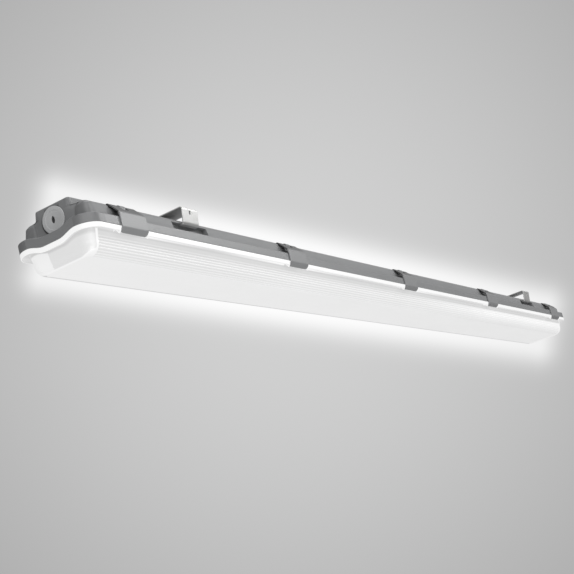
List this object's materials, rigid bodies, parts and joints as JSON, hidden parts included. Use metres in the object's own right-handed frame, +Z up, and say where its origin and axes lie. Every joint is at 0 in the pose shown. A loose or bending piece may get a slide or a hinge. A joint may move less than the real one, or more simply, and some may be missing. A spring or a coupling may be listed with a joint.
{
  "type": "vapor tight light fixture",
  "caption": "Long vapor tight LED light fixture with a grey moulded housing, a frosted ribbed lens held by swing latches, and two steel mounting straps.",
  "frame": {"origin": "the middle of the fixture on the ceiling face, level with the tops of the two mounting straps", "axes": "+X along the fixture to its right end, -Y to the near side seen in the picture, +Z up to the ceiling"},
  "size_m": [1.265, 0.0918, 0.0604],
  "materials": {
    "housing_plastic": "satin, moulded",
    "lens_plastic": "frosted and translucent, lit from inside",
    "latch_plastic": "satin",
    "stainless_steel": "bright",
    "foam": "matte foam",
    "grommet_rubber": "matte",
    "white_steel": "white paint",
    "board_white": "white solder mask",
    "driver_case": "satin paint",
    "block_nylon": "satin",
    "zinc_screw": "zinc plated",
    "wire_brown": "smooth",
    "wire_blue": "smooth",
    "wire_red": "smooth",
    "wire_black": "smooth"
  },
  "bodies": {
    "fixture": {"housing": "housing_plastic", "lens": "lens_plastic", "gasket": "foam", "gear_tray": "white_steel", "led_board_left": "board_white", "led_board_right": "board_white", "led_driver": "driver_case", "terminal_block": "block_nylon", "wire_live": "wire_brown", "wire_neutral": "wire_blue", "lead_left": "wire_red", "lead_right": "wire_black", "cable_grommet_left": "grommet_rubber", "cable_grommet_right": "grommet_rubber", "driver_screw_1": "zinc_screw", "driver_screw_2": "zinc_screw", "tray_screw_1": "zinc_screw", "tray_screw_2": "zinc_screw", "tray_screw_3": "zinc_screw", "tray_screw_4": "zinc_screw", "latch_pin_near_1": "stainless_steel", "latch_pin_near_2": "stainless_steel", "latch_pin_near_3": "stainless_steel", "latch_pin_near_4": "stainless_steel", "latch_pin_near_5": "stainless_steel", "latch_pin_far_1": "stainless_steel", "latch_pin_far_2": "stainless_steel", "latch_pin_far_3": "stainless_steel", "latch_pin_far_4": "stainless_steel", "latch_pin_far_5": "stainless_steel"},
    "mounting_strap_left": {"mounting_strap_left": "stainless_steel"},
    "mounting_strap_right": {"mounting_strap_right": "stainless_steel"},
    "latch_near_1": {"latch_near_1": "latch_plastic"},
    "latch_near_2": {"latch_near_2": "latch_plastic"},
    "latch_near_3": {"latch_near_3": "latch_plastic"},
    "latch_near_4": {"latch_near_4": "latch_plastic"},
    "latch_near_5": {"latch_near_5": "latch_plastic"},
    "latch_far_1": {"latch_far_1": "latch_plastic"},
    "latch_far_2": {"latch_far_2": "latch_plastic"},
    "latch_far_3": {"latch_far_3": "latch_plastic"},
    "latch_far_4": {"latch_far_4": "latch_plastic"},
    "latch_far_5": {"latch_far_5": "latch_plastic"}
  },
  "joints": [
    {"name": "latch_near_1_hinge", "type": "hinge", "parent": "fixture", "child": "latch_near_1", "pos_m": [-0.572, -0.03435, -0.0147], "axis": [-1, 0, 0], "range_deg": [0, 90]},
    {"name": "latch_near_2_hinge", "type": "hinge", "parent": "fixture", "child": "latch_near_2", "pos_m": [-0.286, -0.03435, -0.0147], "axis": [-1, 0, 0], "range_deg": [0, 90]},
    {"name": "latch_near_3_hinge", "type": "hinge", "parent": "fixture", "child": "latch_near_3", "pos_m": [0, -0.03435, -0.0147], "axis": [-1, 0, 0], "range_deg": [0, 90]},
    {"name": "latch_near_4_hinge", "type": "hinge", "parent": "fixture", "child": "latch_near_4", "pos_m": [0.286, -0.03435, -0.0147], "axis": [-1, 0, 0], "range_deg": [0, 90]},
    {"name": "latch_near_5_hinge", "type": "hinge", "parent": "fixture", "child": "latch_near_5", "pos_m": [0.572, -0.03435, -0.0147], "axis": [-1, 0, 0], "range_deg": [0, 90]},
    {"name": "latch_far_1_hinge", "type": "hinge", "parent": "fixture", "child": "latch_far_1", "pos_m": [-0.572, 0.03435, -0.0147], "axis": [1, 0, 0], "range_deg": [0, 90]},
    {"name": "latch_far_2_hinge", "type": "hinge", "parent": "fixture", "child": "latch_far_2", "pos_m": [-0.286, 0.03435, -0.0147], "axis": [1, 0, 0], "range_deg": [0, 90]},
    {"name": "latch_far_3_hinge", "type": "hinge", "parent": "fixture", "child": "latch_far_3", "pos_m": [0, 0.03435, -0.0147], "axis": [1, 0, 0], "range_deg": [0, 90]},
    {"name": "latch_far_4_hinge", "type": "hinge", "parent": "fixture", "child": "latch_far_4", "pos_m": [0.286, 0.03435, -0.0147], "axis": [1, 0, 0], "range_deg": [0, 90]},
    {"name": "latch_far_5_hinge", "type": "hinge", "parent": "fixture", "child": "latch_far_5", "pos_m": [0.572, 0.03435, -0.0147], "axis": [1, 0, 0], "range_deg": [0, 90]},
    {"name": "strap_left_slide", "type": "slide", "parent": "fixture", "child": "mounting_strap_left", "axis": [1, 0, 0], "range_m": [-0.0145, 0.0145]},
    {"name": "strap_right_slide", "type": "slide", "parent": "fixture", "child": "mounting_strap_right", "axis": [1, 0, 0], "range_m": [-0.0145, 0.0145]}
  ]
}
